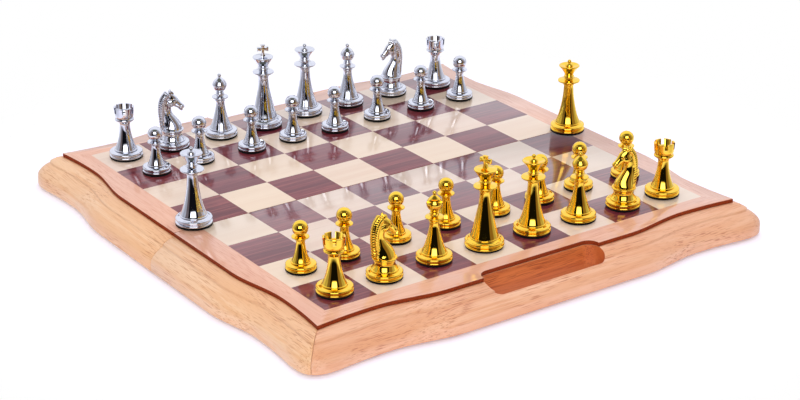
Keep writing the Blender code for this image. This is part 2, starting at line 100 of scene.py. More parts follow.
SEGMENTS = 72
SMALL_SEGMENTS = 32
FELT_SEGMENTS = 48
TUBE_SIDES = 28
VOXEL = 0.30 * MM
MERGE_DISTANCE = 0.001 * MM
SHARP_ANGLE = 35.0
FELT_HEIGHT = 1.8 * MM

# The way each piece faces, in degrees from +X: knights by their noses, bishops by their slits, and
# kings by an arm of the cross.
HEADINGS = {
    "gold_knight_b": -6.0, "gold_knight_g": 168.0, "silver_knight_b": -25.0, "silver_knight_g": 175.0,
    "gold_bishop_c": -125.0, "gold_bishop_f": 60.0, "silver_bishop_c": 60.0, "silver_bishop_f": -35.0,
    "gold_king": -75.0, "silver_king": -20.0,
}


# ---------------------------------------------------------------- mesh helpers

def new_object(name, mesh):
    """An object for a mesh, linked to the scene."""
    made = bpy.data.objects.new(name, mesh)
    bpy.context.scene.collection.objects.link(made)
    return made


def mesh_of(work, name):
    """A mesh from a bmesh, with its normals pointing out."""
    bmesh.ops.recalc_face_normals(work, faces=work.faces)
    mesh = bpy.data.meshes.new(name)
    work.to_mesh(mesh)
    work.free()
    return mesh


def shade(mesh, angle=SHARP_ANGLE):
    """Smooth shading, but for the edges sharper than an angle in degrees."""
    mesh.shade_smooth()
    mesh.set_sharp_from_angle(angle=math.radians(angle))
    return mesh


def loft(name, sections):
    """A closed solid through loops of points, each loop with as many points as the next."""
    work = bmesh.new()
    loops = [[work.verts.new(point) for point in section] for section in sections]
    count = len(sections[0])
    for first, second in zip(loops, loops[1:]):
        for i in range(count):
            j = (i + 1) % count
            work.faces.new((first[i], first[j], second[j], second[i]))
    work.faces.new(loops[0])
    work.faces.new(loops[-1])
    bmesh.ops.remove_doubles(work, verts=work.verts, dist=MERGE_DISTANCE)
    return mesh_of(work, name)


def prism(name, outline, low, high):
    """A flat outline of (x, y) points, thickened from one height to another."""
    return loft(name, [[(x, y, z) for x, y in outline] for z in (low, high)])


def lathe(name, profile, segments=SEGMENTS):
    """A turned solid from (radius, height) points in metres, from the top of the axis to its foot."""
    work = bmesh.new()
    rings = []
    for radius, height in profile:
        if radius < MERGE_DISTANCE:
            rings.append([work.verts.new((0.0, 0.0, height))])
            continue
        turns = [math.tau * i / segments for i in range(segments)]
        rings.append([work.verts.new((radius * math.cos(a), radius * math.sin(a), height)) for a in turns])
    for upper, lower in zip(rings, rings[1:]):
        for i in range(segments):
            j = (i + 1) % segments
            corners = [upper[i % len(upper)], lower[i % len(lower)]]
            corners += [lower[j % len(lower)], upper[j % len(upper)]]
            work.faces.new(list(dict.fromkeys(corners)))
    return mesh_of(work, name)


def spline(points, steps=6):
    """A smooth curve through points, with even steps between each pair."""
    ends = [points[0]] + list(points) + [points[-1]]
    made = []
    for before, start, end, after in zip(ends, ends[1:], ends[2:], ends[3:]):
        for i in range(steps):
            t = i / steps
            made.append(tuple(
                0.5 * (2 * b + (c - a) * t + (2 * a - 5 * b + 4 * c - d) * t ** 2
                       + (3 * b - a - 3 * c + d) * t ** 3)
                for a, b, c, d in zip(before, start, end, after)))
    return made + [tuple(points[-1])]


def arc(radius, centre, first, last, steps=10):
    """Points round part of a circle, from one angle to another in degrees."""
    turns = [math.radians(first + (last - first) * i / steps) for i in range(steps + 1)]
    return [(centre[0] + radius * math.cos(a), centre[1] + radius * math.sin(a)) for a in turns]


def in_metres(points):
    """Points given in millimetres, in metres."""
    return [tuple(value * MM for value in point) for point in points]


def applied(obj, angle=SHARP_ANGLE):
    """The object's mesh with its modifiers applied; the object is removed."""
    bpy.context.view_layer.update()
    mesh = bpy.data.meshes.new_from_object(obj.evaluated_get(bpy.context.evaluated_depsgraph_get()))
    bpy.data.objects.remove(obj)
    return shade(mesh, angle)


def combined(mesh, tools=(), operation="DIFFERENCE", bevel=0.0):
    """A mesh with other meshes cut from it or joined to it, and its sharp edges rounded."""
    obj = new_object("work", mesh)
    helpers = [new_object("tool", tool) for tool in tools]
    for helper in helpers:
        change = obj.modifiers.new("combine", "BOOLEAN")
        change.operation = operation
        change.solver = "EXACT"
        change.object = helper
    if bevel:
        rounding = obj.modifiers.new("round", "BEVEL")
        rounding.width = bevel
        rounding.segments = 2
        rounding.limit_method = "ANGLE"
        rounding.angle_limit = math.radians(40.0)
    made = applied(obj)
    for helper in helpers:
        bpy.data.objects.remove(helper)
    return made


def box_mesh(size, centre, turn=None):
    """A plain box, turned about its own middle and then moved."""
    work = bmesh.new()
    bmesh.ops.create_cube(work, size=1.0)
    place = Matrix.Translation(centre) @ (turn or Matrix.Identity(4)) @ Matrix.Diagonal((*size, 1.0))
    bmesh.ops.transform(work, matrix=place, verts=work.verts)
    return mesh_of(work, "box")


# ---------------------------------------------------------------- materials

class Graph:
    """A node tree under construction, with short calls for the nodes used here."""

    def __init__(self, tree):
        self.tree = tree

    def node(self, kind, **settings):
        made = self.tree.nodes.new(kind)
        for key, value in settings.items():
            setattr(made, key, value)
        return made

    def feed(self, value, socket):
        if isinstance(value, bpy.types.NodeSocket):
            self.tree.links.new(value, socket)
        else:
            socket.default_value = value

    def math(self, operation, a, b=0.0):
        made = self.node("ShaderNodeMath", operation=operation)
        for value, socket in zip((a, b), made.inputs):
            self.feed(value, socket)
        return made.outputs[0]

    def position(self):
        """The place in the object's own space, as x, y and z."""
        where = self.node("ShaderNodeTexCoord").outputs["Object"]
        split = self.node("ShaderNodeSeparateXYZ")
        self.feed(where, split.inputs[0])
        return where, split.outputs

    def noise(self, where, scale, stretch=(1.0, 1.0, 1.0), shift=0.0, detail=3.0, rough=0.55):
        """Noise that is drawn out by the stretch: a small number along the grain."""
        mapping = self.node("ShaderNodeMapping")
        self.feed(where, mapping.inputs["Vector"])
        mapping.inputs["Scale"].default_value = stretch
        if isinstance(shift, bpy.types.NodeSocket):
            self.feed(shift, mapping.inputs["Location"])
        else:
            mapping.inputs["Location"].default_value = (shift, shift * 0.37, shift * 0.71)
        made = self.node("ShaderNodeTexNoise")
        self.feed(mapping.outputs[0], made.inputs["Vector"])
        made.inputs["Scale"].default_value = scale
        made.inputs["Detail"].default_value = detail
        made.inputs["Roughness"].default_value = rough
        return made.outputs[0]

    def ramp(self, value, low, high, start=0.0, end=1.0):
        """A smooth step from one value to another, between a low and a high input."""
        made = self.node("ShaderNodeMapRange", interpolation_type="SMOOTHSTEP")
        for item, name in ((value, "Value"), (low, "From Min"), (high, "From Max"), (start, "To Min"),
                           (end, "To Max")):
            self.feed(item, made.inputs[name])
        return made.outputs[0]

    def mix(self, share, a, b):
        """Colour a where the share is 0, and colour b where it is 1."""
        made = self.node("ShaderNodeMix", data_type="RGBA")
        self.feed(share, made.inputs["Factor"])
        for value, name in ((a, 6), (b, 7)):
            self.feed((*value, 1.0) if isinstance(value, tuple) else value, made.inputs[name])
        return made.outputs[2]


class Finish(Graph):
    """A node material under construction."""

    def __init__(self, name, roughness=0.5, metallic=0.0):
        self.material = bpy.data.materials.new(name)
        self.material.use_nodes = True
        super().__init__(self.material.node_tree)
        self.shader = self.tree.nodes["Principled BSDF"]
        self.shader.inputs["Roughness"].default_value = roughness
        self.shader.inputs["Metallic"].default_value = metallic

    def bump(self, height, strength, distance):
        made = self.node("ShaderNodeBump")
        made.inputs["Strength"].default_value = strength
        made.inputs["Distance"].default_value = distance
        self.feed(height, made.inputs["Height"])
        self.feed(made.outputs[0], self.shader.inputs["Normal"])

    def varnish(self, weight, roughness):
        self.shader.inputs["Coat Weight"].default_value = weight
        self.shader.inputs["Coat Roughness"].default_value = roughness


def along_grain(axis, along=0.05):
    """Noise stretch for grain that runs along X or Y."""
    return (along, 1.0, 1.0) if axis == "X" else (1.0, along, 1.0)


def beech_colour(graph, where, axis, pale, deep, fleck, shift):
    """Beech: slow bands of colour, fine streaks and short dark rays, all along the grain."""
    bands = graph.noise(where, 60.0, along_grain(axis, 0.10), shift, detail=2.0)
    streaks = graph.noise(where, 420.0, along_grain(axis, 0.035), shift, detail=3.0)
    rays = graph.noise(where, 1700.0, along_grain(axis, 0.045), shift, detail=1.5)
    places = graph.noise(where, 45.0, along_grain(axis, 0.5), shift + 3.0, detail=1.0)
    colour = graph.mix(graph.ramp(bands, 0.35, 0.68), pale, deep)
    colour = graph.mix(graph.ramp(streaks, 0.42, 0.66, 0.0, 0.85), colour, deep)
    ray_share = graph.math("MULTIPLY", graph.ramp(rays, 0.52, 0.66, 0.0, 0.85),
                           graph.ramp(places, 0.40, 0.58, 0.25, 1.0))
    return graph.mix(ray_share, colour, fleck), streaks


def beech(name, axis, pale, deep, fleck, shift, coat=0.35):
    """Solid beech under a satin lacquer."""
    graph = Finish(name, roughness=0.42)
    where, _ = graph.position()
    colour, streaks = beech_colour(graph, where, axis, pale, deep, fleck, shift)
    graph.feed(colour, graph.shader.inputs["Base Color"])
    graph.feed(graph.ramp(streaks, 0.3, 0.8, 0.36, 0.5), graph.shader.inputs["Roughness"])
    graph.varnish(coat, 0.16)
    graph.bump(streaks, 0.12, 0.15 * MM)
    return graph.material


def cell_noise(graph, x, y, lift):
    """A random value and colour for each square of the board, the same all over the square."""
    joined = graph.node("ShaderNodeCombineXYZ")
    for value, socket in zip((graph.math("FLOOR", x), graph.math("FLOOR", y), lift), joined.inputs):
        graph.feed(value, socket)
    made = graph.node("ShaderNodeTexWhiteNoise", noise_dimensions="3D")
    graph.feed(joined.outputs[0], made.inputs["Vector"])
    return made.outputs


def playing_surface():
    """Veneer: walnut and maple squares with the grain along X, and a beech border with mitred strips."""
    graph = Finish("board_veneer", roughness=0.33)
    where, (x, y, _) = graph.position()
    file = graph.math("DIVIDE", x, SQUARE)
    rank = graph.math("DIVIDE", y, SQUARE)
    count = graph.math("ADD", graph.math("FLOOR", file), graph.math("FLOOR", rank))
    parity = graph.math("FLOORED_MODULO", count, 2.0)
    value, tint = cell_noise(graph, file, rank, 3.5)

    # Each square is cut from another part of the sheet, so its grain starts somewhere else.
    grain = (0.045, 1.0, 1.0)
    broad = graph.noise(where, 95.0, grain, tint, detail=2.0)
    fine = graph.noise(where, 520.0, (0.03, 1.0, 1.0), tint, detail=4.0)
    pores = graph.noise(where, 1300.0, (0.045, 1.0, 1.0), tint, detail=1.0)

    walnut = graph.mix(graph.ramp(broad, 0.34, 0.66), (0.220, 0.038, 0.046), (0.118, 0.015, 0.024))
    walnut = graph.mix(graph.ramp(fine, 0.44, 0.68, 0.0, 0.70), walnut, (0.310, 0.076, 0.070))
    walnut = graph.mix(graph.ramp(pores, 0.58, 0.70, 0.0, 0.50), walnut, (0.062, 0.006, 0.020))
    walnut = graph.mix(graph.ramp(value, 0.0, 1.0, 0.0, 0.30), walnut, (0.130, 0.014, 0.036))

    maple = graph.mix(graph.ramp(broad, 0.35, 0.70), (0.79, 0.62, 0.50), (0.75, 0.56, 0.44))
    maple = graph.mix(graph.ramp(fine, 0.50, 0.80, 0.0, 0.45), maple, (0.66, 0.46, 0.34))
    maple = graph.mix(graph.ramp(value, 0.0, 1.0, 0.0, 0.35), maple, (0.82, 0.67, 0.47))
    squares = graph.mix(parity, walnut, maple)

    side = graph.math("GREATER_THAN", graph.math("ABSOLUTE", x), graph.math("ABSOLUTE", y))
    border_tones = ((0.80, 0.45, 0.31), (0.74, 0.38, 0.25), (0.62, 0.26, 0.16))
    strip_x, _ = beech_colour(graph, where, "X", *border_tones, 2.0)
    strip_y, _ = beech_colour(graph, where, "Y", *border_tones, 5.0)
    border = graph.mix(side, strip_x, strip_y)
    reach = graph.math("MAXIMUM", graph.math("ABSOLUTE", x), graph.math("ABSOLUTE", y))
    outside = graph.math("GREATER_THAN", reach, HALF_FIELD)
    graph.feed(graph.mix(outside, squares, border), graph.shader.inputs["Base Color"])
    graph.shader.inputs["Specular IOR Level"].default_value = 0.15
    graph.varnish(1.0, 0.085)
    graph.bump(fine, 0.06, 0.05 * MM)
    return graph.material


def plywood():
    """The panel's edge: thin plies stained red-brown, and rough from the saw."""
    graph = Finish("panel_edge", roughness=0.55)
    where, (_, _, z) = graph.position()
    ply_pair = 0.9 * MM
    plies = graph.math("SINE", graph.math("MULTIPLY", z, math.tau / ply_pair))
    cut = graph.noise(where, 1000.0, (1.0, 1.0, 2.0), 1.0)
    dark = graph.mix(graph.ramp(plies, -0.4, 0.6), (0.25, 0.030, 0.006), (0.38, 0.062, 0.014))
    graph.feed(graph.mix(graph.ramp(cut, 0.4, 0.75, 0.0, 0.8), dark, (0.06, 0.008, 0.003)),
               graph.shader.inputs["Base Color"])
    graph.shader.inputs["Specular IOR Level"].default_value = 0.1
    graph.bump(cut, 0.4, 0.2 * MM)
    return graph.material


def slot_wall():
    """The bare, redder wood inside the hand slots."""
    graph = Finish("slot_wall", roughness=0.5)
    where, _ = graph.position()
    tones = ((0.72, 0.215, 0.058), (0.58, 0.14, 0.034), (0.34, 0.06, 0.018))
    colour, streaks = beech_colour(graph, where, "X", *tones, 9.0)
    graph.feed(colour, graph.shader.inputs["Base Color"])
    graph.bump(streaks, 0.25, 0.2 * MM)
    return graph.material


def polished_metal(name, colour, clouded, roughness):
    """Plated and polished metal with a faint cloudiness where hands have been."""
    graph = Finish(name, roughness, metallic=1.0)
    where, _ = graph.position()
    clouds = graph.noise(where, 160.0, shift=4.0, detail=2.0)
    orange_peel = graph.noise(where, 900.0, shift=7.0, detail=1.0)
    colour = graph.mix(graph.ramp(clouds, 0.45, 0.8, 0.0, 0.35), colour, clouded)
    dullness = graph.ramp(clouds, 0.35, 0.8, roughness * 0.7, roughness * 1.6)
    graph.feed(colour, graph.shader.inputs["Base Color"])
    graph.feed(dullness, graph.shader.inputs["Roughness"])
    graph.bump(orange_peel, 0.02, 0.02 * MM)
    return graph.material


def fabric(name, colour, light, scale):
    """Short matted fibres, for felt and for flocking."""
    graph = Finish(name, roughness=0.95)
    where, _ = graph.position()
    fibres = graph.noise(where, scale, detail=5.0, rough=0.7)
    graph.feed(graph.mix(graph.ramp(fibres, 0.4, 0.75), colour, light), graph.shader.inputs["Base Color"])
    graph.shader.inputs["Specular IOR Level"].default_value = 0.1
    graph.shader.inputs["Sheen Weight"].default_value = 0.08
    graph.shader.inputs["Sheen Roughness"].default_value = 0.5
    graph.bump(fibres, 0.6, 0.2 * MM)
    return graph.material


def brushed(name, colour, worn, roughness):
    """Rolled metal, brushed along X."""
    graph = Finish(name, roughness, metallic=1.0)
    where, _ = graph.position()
    lines = graph.noise(where, 2200.0, (0.03, 1.0, 1.0), 3.0)
    graph.feed(graph.mix(graph.ramp(lines, 0.4, 0.8), colour, worn), graph.shader.inputs["Base Color"])
    dullness = graph.ramp(lines, 0.3, 0.8, roughness * 0.8, roughness * 1.5)
    graph.feed(dullness, graph.shader.inputs["Roughness"])
    graph.bump(lines, 0.15, 0.05 * MM)
    return graph.material


# Beech tones: pale wood, deeper bands and dark rays. The second set is a lighter, yellower copy of the first:
# painted light for the stronger light that falls on the left side.
FRONT_TONES = ((0.84, 0.49, 0.31), (0.75, 0.36, 0.19), (0.50, 0.16, 0.07))
PAINTED_LIGHT_TONES = ((0.86, 0.54, 0.31), (0.80, 0.44, 0.22), (0.58, 0.24, 0.10))
MATERIALS = {
    "veneer": playing_surface(),
    "ply": plywood(),
    "slot_wall": slot_wall(),
    "rail_front": beech("beech_front", "X", *FRONT_TONES, 1.3),
    "rail_back": beech("beech_back", "X", *FRONT_TONES, 8.1),
    # The left rails and the spine take the lighter copy of the beech tones: painted light, not a different
    # wood.
    "rail_left_front": beech("beech_left_front", "Y", *PAINTED_LIGHT_TONES, 3.7),
    "rail_left_back": beech("beech_left_back", "Y", *PAINTED_LIGHT_TONES, 6.2),
    "rail_right_front": beech("beech_right_front", "Y", *FRONT_TONES, 5.1),
    "rail_right_back": beech("beech_right_back", "Y", *FRONT_TONES, 7.4),
    "spine": beech("beech_spine", "X", *PAINTED_LIGHT_TONES, 2.2, coat=0.1),
    "gold": polished_metal("gold_plate", (1.0, 0.655, 0.07), (0.95, 0.53, 0.04), 0.045),
    "silver": polished_metal("nickel_plate", (0.70, 0.72, 0.79), (0.60, 0.62, 0.70), 0.04),
    "brass": brushed("hinge_brass", (0.74, 0.52, 0.20), (0.60, 0.40, 0.14), 0.28),
    "magnet": brushed("magnet_steel", (0.60, 0.60, 0.62), (0.45, 0.45, 0.47), 0.25),
    "felt": fabric("black_felt", (0.002, 0.002, 0.0025), (0.008, 0.008, 0.009), 1800.0),
    "flock": fabric("wine_flock", (0.085, 0.012, 0.020), (0.15, 0.030, 0.042), 1500.0),
}


def show(name, mesh, body, finishes, replaced=()):
    """Puts a piece in the scene, on its body, with one material or several."""
    made = new_object(name, mesh)
    made.data.materials.clear()
    for finish in finishes:
        made.data.materials.append(MATERIALS[finish])
    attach(made, body)
    if replaced:
        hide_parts(*replaced)
    return made


# ---------------------------------------------------------------- board

def wave(along):
    """How far the wavy edge lies inside the straight one, at a distance along a side."""
    along = abs(along)
    if along <= WAVE_START:
        return 0.0
    if along <= WAVE_LOW:
        turn = (along - WAVE_START) / (WAVE_LOW - WAVE_START)
        return WAVE_DEPTH * (1 - math.cos(math.pi * turn)) / 2
    return WAVE_DEPTH - WAVE_RISE * ((along - WAVE_LOW) / (PANEL_EDGE - WAVE_LOW)) ** 2


def corner_points(outward):
    """Where the outline at one distance outward leaves its side and where it meets the mitre.

    The cut runs at 45 degrees. Both places lie on the wave, so they are found by repeated steps. An
    outline that the cut doesn't reach meets the mitre in a plain corner.
    """
    cut = 2 * (RAIL_EDGE - wave(RAIL_EDGE)) - CORNER_CUT - math.sqrt(2) * (RAIL_EDGE - outward)
    leave = mitre = cut / 2
    for _ in range(SETTLING_TURNS):
        leave = cut - (outward - wave(leave))
    if leave < mitre - CORNER_LEAD:
        return leave, mitre
    for _ in range(SETTLING_TURNS):
        mitre = outward - wave(mitre)
    return mitre - CORNER_LEAD, mitre


def wave_shares():
    """Shares of half a side, close together where the edge bends."""
    end = corner_points(PANEL_EDGE)[0]
    bends = [WAVE_START + (end - WAVE_START) * i / WAVE_STEPS for i in range(WAVE_STEPS + 1)]
    return [along / end for along in bends]


def rail_profile():
    """(distance outward, height, follows the wave) round a rail's section, from its inner foot."""
    edge, top = PANEL_EDGE, BOARD_HEIGHT
    slope = spline([(0.7, -2.9), (3.4, -3.6), (6.6, -4.9), (9.2, -6.4)], 3)
    step = [(9.5, -7.9)]
    fall = spline([(10.4, -8.3), (13.2, -10.0), (15.7, -11.9)], 3)
    round_over = spline([(16.1, -12.4), (17.7, -14.0), (18.8, -15.9), (19.3, -18.2)], 3)
    outline = [(edge + out * MM, top + drop * MM, True) for out, drop in slope + step + fall + round_over]
    foot = spline([(RAIL_EDGE, UNDERSIDE + 1.2 * MM), (RAIL_EDGE - 0.3 * MM, UNDERSIDE + 0.4 * MM),
                   (RAIL_EDGE - 1.1 * MM, UNDERSIDE)], 2)
    outline += [(out, height, True) for out, height in foot]
    inner = [(RAIL_INNER, UNDERSIDE, False), (RAIL_INNER, RAIL_TOP, False), (edge - 1.0 * MM, RAIL_TOP, True)]
    return inner + outline


def rail_sections(start):
    """Loops of (along, outward, height) from a start on the side out to the mitre."""
    profile = rail_profile()
    ends = [corner_points(out) if wavy else (out - INNER_LEAD, out) for out, _, wavy in profile]
    straight = [share for share in wave_shares() if share < CORNER_START]

    def place(out, wavy, along):
        return Vector((along, out - wave(along) if wavy else out))

    sections = [[(start, *place(out, wavy, start)[1:], height) for out, height, wavy in profile]]
    for share in straight + [CORNER_START]:
        sections.append([(*place(out, wavy, share * leave), height)
                         for (out, height, wavy), (leave, _) in zip(profile, ends)])
    for step in range(1, CORNER_STEPS + 1):
        t = step / CORNER_STEPS
        section = []
        for (out, height, wavy), (leave, mitre) in zip(profile, ends):
            first, bend = place(out, wavy, CORNER_START * leave), place(out, wavy, leave)
            last = Vector((mitre - JOINT_GAP / math.sqrt(2), mitre))
            section.append((*(first * (1 - t) ** 2 + bend * 2 * t * (1 - t) + last * t ** 2), height))
        sections.append(section)
    return sections


def slot_outline(side):
    """The hand slot seen from above: a rectangle with round corners."""
    inner = PANEL_EDGE - SLOT_INSET
    outer = inner + SLOT_WIDTH
    outline = []
    for sign_x, sign_y, first in ((1, 1, 0), (-1, 1, 90), (-1, -1, 180), (1, -1, 270)):
        centre = (sign_x * (SLOT_LENGTH / 2 - SLOT_RADIUS),
                  (outer if sign_y > 0 else inner) - sign_y * SLOT_RADIUS)
        outline += arc(SLOT_RADIUS, centre, first, first + 90)
    return [(x, side * y) for x, y in outline]


def slot_tool(side):
    """The solid that cuts the hand slot, right through the board."""
    return prism("slot", slot_outline(side), -CUTTER_OVERRUN, BOARD_HEIGHT + CUTTER_OVERRUN)


def in_slot(point, side):
    """Whether a point lies within the slot's outline, or just outside it."""
    room = 0.25 * MM
    inner = PANEL_EDGE - SLOT_INSET - room
    outer = inner + SLOT_WIDTH + 2 * room
    return abs(point.x) < SLOT_LENGTH / 2 + room and inner < side * point.y < outer


def paint_slot(mesh, side, index):
    """Gives the upright faces inside the slot their own material."""
    for face in mesh.polygons:
        if abs(face.normal.z) < 0.5 and in_slot(face.center, side):
            face.material_index = index


def long_rail(half, side):
    """The front or back rail, mitre to mitre, with its hand slot and magnet pockets."""
    sections = rail_sections(0.0)
    mirrored = [[(-a, out, h) for a, out, h in section] for section in reversed(sections[1:])]
    mesh = loft("rail", [[(a, side * out, h) for a, out, h in section] for section in mirrored + sections])
    tools = [slot_tool(side)]
    for end in ("left", "right"):
        low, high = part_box(f"magnet_{half}_{end}")
        middle = (low + high) / 2
        radius = (high.x - low.x) / 2 + MAGNET_ROOM
        top, bottom = high.z + MAGNET_ROOM, -CUTTER_OVERRUN
        pocket = lathe("pocket", [(0.0, top), (radius, top), (radius, bottom), (0.0, bottom)], SMALL_SEGMENTS)
        pocket.transform(Matrix.Translation((middle.x, middle.y, 0.0)))
        tools.append(pocket)
    mesh = combined(mesh, tools, bevel=RAIL_ROUNDING)
    name = f"rail_{half}"
    rail = show(f"{name}_moulded", mesh, f"{half}_half", [name, "slot_wall"], [name])
    paint_slot(rail.data, side, 1)


def short_rail(half, half_side, end, side):
    """A left or right rail on one half, from the fold seam to the mitre."""
    sections = rail_sections(SEAM_HALF)
    mesh = loft("rail", [[(side * out, half_side * a, h) for a, out, h in section] for section in sections])
    mesh = combined(mesh, bevel=RAIL_ROUNDING)
    name = f"rail_{end}_{half}"
    show(f"{name}_moulded", mesh, f"{half}_half", [name], [name])


def panel(half, side):
    """One half of the playing panel, with its wavy edge, its slot and a softened arris."""
    leave, corner = corner_points(PANEL_EDGE)
    side_points = [(share * leave, PANEL_EDGE - wave(share * leave)) for share in wave_shares()]
    right = [(out, along) for along, out in side_points]
    front = [(along, out) for along, out in reversed(side_points)]
    quarter = [(PANEL_EDGE, SEAM_HALF)] + right + [(corner, corner)] + front
    outline = [(x, side * y) for x, y in quarter + [(-x, y) for x, y in reversed(quarter)]]
    mesh = prism("panel", outline, PANEL_UNDER, BOARD_HEIGHT)
    mesh = combined(mesh, [slot_tool(side)], bevel=PANEL_ROUNDING)
    name = f"panel_{half}"
    made = show(f"{name}_veneered", mesh, f"{half}_half", ["veneer", "ply"], [name])
    for face in made.data.polygons:
        face.material_index = 0 if face.normal.z > 0.5 else 1


def foot_pad(half, end):
    """A felt foot with a soft lower edge."""
    node = f"foot_pad_{half}_{end}"
    low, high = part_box(node)
    middle = (low + high) / 2
    radius = (high.x - low.x) / 2
    soft = 0.3 * MM
    profile = [(0.0, high.z), (radius - soft / 2, high.z), (radius, high.z - soft / 2)]
    profile += arc(soft, (radius - soft, low.z + soft), 0, -90, 5) + [(0.0, low.z)]
    mesh = shade(lathe("pad", profile, FELT_SEGMENTS))
    mesh.transform(Matrix.Translation((middle.x, middle.y, 0.0)))
    show(f"felt_foot_{half}_{end}", mesh, f"{half}_half", ["felt"], [node])


def screw_mesh():
    """A countersunk screw head with a cross recess, its face towards -Z."""
    radius = 1.9 * MM
    face = -0.18 * MM
    shank = 0.25 * MM
    head = lathe("head", [(0.0, shank), (radius * 0.7, shank), (radius, 0.0), (radius * 0.86, face * 0.7),
                          (radius * 0.45, face), (0.0, face)], SMALL_SEGMENTS)
    bars = [box_mesh((2.0 * MM, 0.42 * MM, 0.5 * MM), (0.0, 0.0, -0.35 * MM),
                     Matrix.Rotation(math.radians(turn), 4, "Z")) for turn in (20.0, 110.0)]
    return combined(head, bars)


def hinge_screws(half, end, side):
    """Three screws in one hinge leaf, nearly flush, so that the leaves can meet when the board is shut."""
    low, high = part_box(f"hinge_leaf_{half}_{end}")
    outer = low.y if side < 0 else high.y
    screw = screw_mesh()
    work = bmesh.new()
    for share in SCREW_SHARES:
        copy = screw.copy()
        x = low.x + (high.x - low.x) * share
        copy.transform(Matrix.Translation((x, outer - side * SCREW_INSET, UNDERSIDE + SCREW_HEIGHT)))
        work.from_mesh(copy)
    show(f"hinge_screws_{half}_{end}", shade(mesh_of(work, "screws")), f"{half}_half", ["brass"])


def finish_cad_nodes():
    """The CAD nodes whose shape is right as it is get their materials here."""
    for name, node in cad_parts.items():
        for start, finish, slot in (("spine", "spine", "beech"), ("insert", "flock", "flock"),
                                    ("hinge", "brass", "brass"), ("magnet", "magnet", "magnet")):
            if name.startswith(start):
                node.data.materials.clear()
                node.data.materials.append(MATERIALS[finish])


def board():
    """Everything that is made of wood, and what is fastened to it."""
    for half, side in (("front", -1), ("back", 1)):
        panel(half, side)
        long_rail(half, side)
        for end, end_side in (("left", -1), ("right", 1)):
            short_rail(half, side, end, end_side)
            foot_pad(half, end)
            hinge_screws(half, end, side)
    finish_cad_nodes()


# ---------------------------------------------------------------- turned pieces

def foot(radius, body, shoulder, rim=4.6):
    """From the bottom of the body, in mm: a bead, a dished top and two rounded tiers with a groove."""
    points = [(body, shoulder)] + arc(0.45, (body + 0.25, shoulder - 0.45), 60, -60, 5)
    points += spline([(body + 0.45, shoulder - 0.95), ((body + radius) / 2, rim + 0.85),
                      (radius - 1.2, rim + 0.75)], 4)
    points += arc(0.85, (radius - 1.0, rim - 0.15), 70, -30, 6)
    points += [(radius - 1.1, 3.55), (radius - 1.15, 3.1), (radius - 0.8, 2.9)]
    points += arc(0.75, (radius - 0.75, 2.1), 60, -50, 5)
    return points + [(radius - 0.5, FELT_HEIGHT / MM), (0.0, FELT_HEIGHT / MM)]


def ball(radius, height, lowest):
    """A ball on the axis, from its top down to an angle below its middle."""
    return [(max(r, 0.0), z) for r, z in arc(radius, (0.0, height), 90, lowest, 20)]


def disc(radius, height, thick, inner):
    """A collar with a thin rounded edge that swells toward the axis on both faces."""
    edge = thick * 0.32
    upper = spline([(inner, height + thick * 0.75), ((inner + radius) / 2, height + thick * 0.42),
                    (radius - edge, height + edge)], 4)
    lower = spline([(radius - edge, height - edge), ((inner + radius) / 2, height - thick * 0.55),
                    (inner, height - thick)], 4)
    return upper + arc(edge, (radius - edge, height), 60, -60, 5) + lower


def ring(radius, height, size):
    """A small bead round the body."""
    return arc(size, (radius - size, height), 75, -75, 6)


def pawn_mesh():
    profile = ball(5.4, 29.8, -58)
    profile += disc(6.0, 23.8, 1.5, 2.95) + ring(3.5, 21.7, 0.5)
    profile += spline([(2.95, 21.0), (3.1, 18.6), (3.9, 13.6), (5.1, 9.4), (6.1, 6.9)])
    return shade(lathe("pawn", in_metres(profile + foot(10.6, 6.15, 6.5, rim=4.4))))


def rook_mesh():
    profile = [(0.0, 33.6), (4.8, 33.6), (5.3, 34.2), (5.9, 39.4), (6.2, 39.75), (7.3, 39.75), (7.6, 39.4)]
    profile += spline([(7.6, 39.4), (7.3, 36.0), (7.0, 33.0), (6.4, 31.4)], 4)
    profile += arc(0.95, (6.2, 30.0), 70, -70, 8)
    profile += spline([(6.0, 28.9), (4.8, 28.0), (4.2, 26.9), (3.9, 25.6), (4.2, 21.0), (5.1, 15.8),
                       (6.4, 11.0), (7.9, 7.2)])
    mesh = lathe("rook", in_metres(profile + foot(12.5, 8.1, 6.8)))
    bars = [box_mesh((20.0 * MM, MERLON_GAP, 8.0 * MM), (0.0, 0.0, 39.2 * MM),
                     Matrix.Rotation(math.radians(60.0 * i), 4, "Z")) for i in range(3)]
    return combined(mesh, bars)


def bishop_mesh():
    profile = ball(1.45, 48.65, -40)
    profile += spline([(1.0, 47.2), (2.4, 46.1), (4.1, 44.4), (5.3, 42.2), (5.45, 40.6), (4.6, 38.2),
                       (3.2, 36.5), (2.6, 35.3)])
    profile += ring(3.3, 34.6, 0.5) + disc(6.3, 31.5, 1.6, 3.0) + ring(3.9, 28.9, 0.55)
    profile += spline([(3.3, 28.0), (3.4, 25.0), (4.1, 20.8), (5.1, 16.6), (6.6, 11.2), (8.2, 7.4)])
    mesh = lathe("bishop", in_metres(profile + foot(12.5, 8.4, 6.9)))
    slit = box_mesh((11.2 * MM, 16.0 * MM, 1.25 * MM), (5.1 * MM, 0.0, 45.4 * MM),
                    Matrix.Rotation(math.radians(-42.0), 4, "Y"))
    return combined(mesh, [slit])


